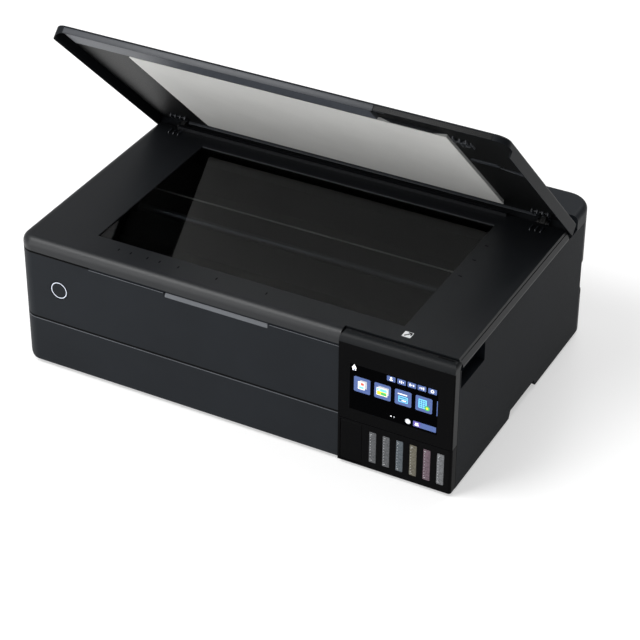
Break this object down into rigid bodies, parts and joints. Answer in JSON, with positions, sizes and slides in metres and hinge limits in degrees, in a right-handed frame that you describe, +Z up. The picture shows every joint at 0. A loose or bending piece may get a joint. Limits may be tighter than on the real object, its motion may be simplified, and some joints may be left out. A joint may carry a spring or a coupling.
{
  "type": "inkjet printer",
  "caption": "Wide ink-tank photo printer with a flatbed scanner, its lid open, a tilting touch panel, sight windows for the ink and a drop-down front cover",
  "frame": {"origin": "centre of the bounding box in plan, on the surface the rubber feet stand on", "axes": "X to the right seen from the front, Y to the back, Z up"},
  "size_m": [0.523, 0.379, 0.3697],
  "materials": {
    "body_dark": "fine-grained matte dark blue-grey moulding",
    "inner_dark": "plain black moulding",
    "block_gloss": "polished black moulding",
    "display_glass": "dark display with a clear front",
    "scan_glass": "clear flat glass over a dark pan",
    "mat_grey": "light grey foam-backed sheet",
    "rubber_black": "soft matt rubber",
    "steel": "plain rolled or ground steel",
    "motor_steel": "plated motor can",
    "belt": null,
    "gear_white": "natural white acetal",
    "board_green": "coated circuit board",
    "ink_black": "translucent tank with dark ink",
    "ink_photo_black": "translucent tank with dark ink",
    "ink_cyan": "translucent tank with bluish ink",
    "ink_yellow": "translucent tank with yellowish ink",
    "ink_magenta": "translucent tank with pinkish ink",
    "ink_grey": "translucent tank with light grey ink"
  },
  "bodies": {
    "base": {"base_tray": "body_dark", "left_side_panel": "body_dark", "right_side_panel": "body_dark", "rear_panel": "body_dark", "rear_deck": "body_dark", "front_panel": "body_dark", "duplex_cover": "body_dark", "tank_bezel": "block_gloss", "card_reader": "inner_dark", "panel_bracket": "inner_dark", "tank_black": "ink_black", "tank_photo_black": "ink_photo_black", "tank_cyan": "ink_cyan", "tank_yellow": "ink_yellow", "tank_magenta": "ink_magenta", "tank_grey": "ink_grey", "tank_caps": "inner_dark", "tank_cover": "inner_dark", "cassette_upper": "inner_dark", "cassette_lower": "inner_dark", "rubber_feet": "rubber_black", "carriage_frame": "steel", "platen": "inner_dark", "timing_belt": "belt", "carriage_motor": "motor_steel", "feed_motor": "motor_steel", "capping_station": "inner_dark", "maintenance_box": "inner_dark", "power_supply": "inner_dark", "main_board": "board_green", "ac_inlet": "inner_dark", "rear_ports": "steel"},
    "scanner": {"scanner_bed": "body_dark", "scanner_tray": "inner_dark", "scanner_glass": "scan_glass", "scan_rail": "steel", "hinge_posts": "inner_dark"},
    "scan_bar": {"scan_head": "inner_dark"},
    "lid": {"lid_shell": "body_dark", "lid_liner": "inner_dark", "document_mat": "mat_grey", "lid_hinge_arms": "inner_dark"},
    "control": {"panel_housing": "block_gloss", "panel_face": "block_gloss", "display": "display_glass"},
    "cover": {"front_cover": "body_dark"},
    "tray": {"output_tray": "inner_dark"},
    "extension": {"tray_extension": "inner_dark"},
    "door": {"card_door": "block_gloss"},
    "button": {"power_button": "body_dark"},
    "feed_flap": {"rear_feed_cover": "body_dark"},
    "guide_left": {"edge_guide_left": "inner_dark"},
    "guide_right": {"edge_guide_right": "inner_dark"},
    "carriage": {"print_carriage": "inner_dark", "print_head": "inner_dark"},
    "pulley_drive": {"drive_pulley": "gear_white"},
    "pulley_idler": {"idler_pulley": "gear_white"},
    "roller_feed": {"feed_roller": "steel"},
    "roller_eject": {"eject_roller": "steel"},
    "pinion": {"feed_pinion": "gear_white"}
  },
  "joints": [
    {"name": "scanner_hinge", "type": "hinge", "parent": "base", "child": "scanner", "pos_m": [0, 0.116, 0.147], "axis": [-1, 0, 0], "range_deg": [0, 20]},
    {"name": "scan_travel", "type": "slide", "parent": "scanner", "child": "scan_bar", "axis": [1, 0, 0], "range_m": [0, 0.42]},
    {"name": "lid_hinge", "type": "hinge", "parent": "scanner", "child": "lid", "pos_m": [0, 0.1075, 0.15855], "axis": [-1, 0, 0], "range_deg": [-45.1, 35]},
    {"name": "panel_tilt", "type": "hinge", "parent": "base", "child": "control", "pos_m": [0.196, -0.1805, 0.152], "axis": [-1, 0, 0], "range_deg": [0, 45]},
    {"name": "cover_hinge", "type": "hinge", "parent": "base", "child": "cover", "pos_m": [-0.065, -0.1815, 0.0085], "axis": [1, 0, 0], "range_deg": [0, 90]},
    {"name": "tray_slide", "type": "slide", "parent": "base", "child": "tray", "axis": [0, -1, 0], "range_m": [0, 0.0695]},
    {"name": "extension_slide", "type": "slide", "parent": "tray", "child": "extension", "axis": [0, -1, 0], "range_m": [0, 0.0635]},
    {"name": "card_door_hinge", "type": "hinge", "parent": "base", "child": "door", "pos_m": [0.1359, -0.18835, 0.0312], "axis": [0, 0, -1], "range_deg": [0, 90]},
    {"name": "button_press", "type": "slide", "parent": "base", "child": "button", "axis": [0, 1, 0], "range_m": [0, 0.0015], "stiffness_N_per_m": 400},
    {"name": "feed_cover_hinge", "type": "hinge", "parent": "base", "child": "feed_flap", "pos_m": [0, 0.147, 0.1654], "axis": [-1, 0, 0], "range_deg": [0, 100]},
    {"name": "guide_right_slide", "type": "slide", "parent": "base", "child": "guide_right", "axis": [1, 0, 0], "range_m": [-0.055, 0.055]},
    {"name": "guide_left_slide", "type": "slide", "parent": "base", "child": "guide_left", "axis": [1, 0, 0], "range_m": [-0.055, 0.055]},
    {"name": "carriage_slide", "type": "slide", "parent": "base", "child": "carriage", "axis": [1, 0, 0], "range_m": [-0.28, 0]},
    {"name": "drive_pulley_spin", "type": "hinge", "parent": "base", "child": "pulley_drive", "pos_m": [-0.205, 0.0505, 0.09], "axis": [0, 1, 0], "range_deg": [-5, 2680]},
    {"name": "idler_pulley_spin", "type": "hinge", "parent": "base", "child": "pulley_idler", "pos_m": [0.128, 0.0505, 0.09], "axis": [0, 1, 0], "range_deg": [-5, 2680]},
    {"name": "feed_roller_spin", "type": "hinge", "parent": "base", "child": "roller_feed", "pos_m": [0, 0.036, 0.062], "axis": [1, 0, 0], "continuous": true},
    {"name": "feed_pinion_spin", "type": "hinge", "parent": "base", "child": "pinion", "pos_m": [-0.239, 0.04315, 0.04236], "axis": [1, 0, 0], "continuous": true},
    {"name": "eject_roller_spin", "type": "hinge", "parent": "base", "child": "roller_eject", "pos_m": [0, -0.036, 0.06], "axis": [1, 0, 0], "continuous": true}
  ],
  "couplings": [
    {"joint": "tray_slide", "follows": "cover_hinge", "m_per_rad": 0.044},
    {"joint": "extension_slide", "follows": "cover_hinge", "m_per_rad": 0.04},
    {"joint": "guide_left_slide", "follows": "guide_right_slide", "ratio": -1},
    {"joint": "drive_pulley_spin", "follows": "carriage_slide", "rad_per_m": -166.67},
    {"joint": "idler_pulley_spin", "follows": "carriage_slide", "rad_per_m": -166.67},
    {"joint": "feed_pinion_spin", "follows": "feed_roller_spin", "ratio": -3.3333},
    {"joint": "eject_roller_spin", "follows": "feed_roller_spin", "ratio": 1.5}
  ]
}
